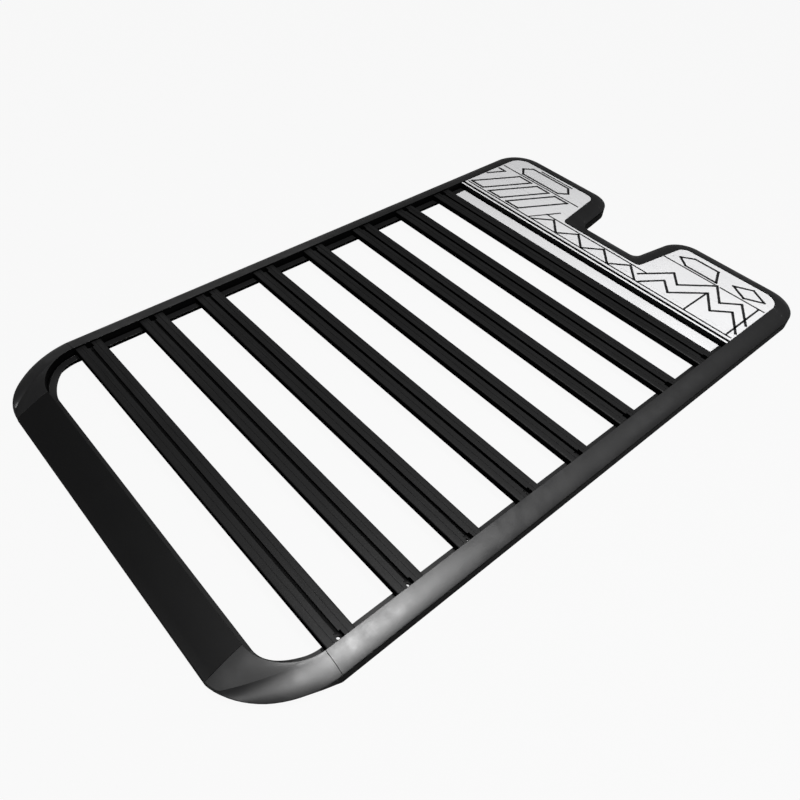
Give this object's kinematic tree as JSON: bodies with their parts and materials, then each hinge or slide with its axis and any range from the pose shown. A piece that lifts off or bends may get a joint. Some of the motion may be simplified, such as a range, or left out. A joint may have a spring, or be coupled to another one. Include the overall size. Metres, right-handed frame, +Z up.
{
  "type": "vehicle roof rack",
  "caption": "Flat platform roof rack with slotted cross slats, rounded rail, sloped front deflector, rear deck and an aerial notch.",
  "frame": {"origin": "middle of the rack at its underside", "axes": "+X across to the vehicle's right-hand rail, +Y to its rear and the aerial notch, +Z up"},
  "size_m": [1.25, 2.11, 0.054],
  "materials": {
    "slat": "fine black powder coat on extruded aluminium",
    "rail": "satin black coat on extruded aluminium",
    "moulding": "satin black coat on cast aluminium",
    "seal": "matt black rubber",
    "deck": "pale grey coat on sheet aluminium"
  },
  "bodies": {
    "root": {"deck_apron": "deck", "deck_bar": "slat", "deck_edge_strip": "deck", "deflector_seal": "seal", "front_corner_left": "moulding", "front_corner_right": "moulding", "front_deflector": "moulding", "notch_corner_left": "rail", "notch_corner_right": "rail", "notch_rail": "rail", "notch_shoulder_left": "rail", "notch_shoulder_right": "rail", "notch_side_left": "rail", "notch_side_right": "rail", "rear_corner_left": "rail", "rear_corner_right": "rail", "rear_deck": "deck", "rear_rail_left": "rail", "rear_rail_right": "rail", "side_carrier_left": "rail", "side_carrier_right": "rail", "side_rail_left": "rail", "side_rail_right": "rail", "slat_1": "slat", "slat_2": "slat", "slat_3": "slat", "slat_4": "slat", "slat_5": "slat", "slat_6": "slat", "slat_7": "slat", "slat_8": "slat"}
  },
  "joints": []
}
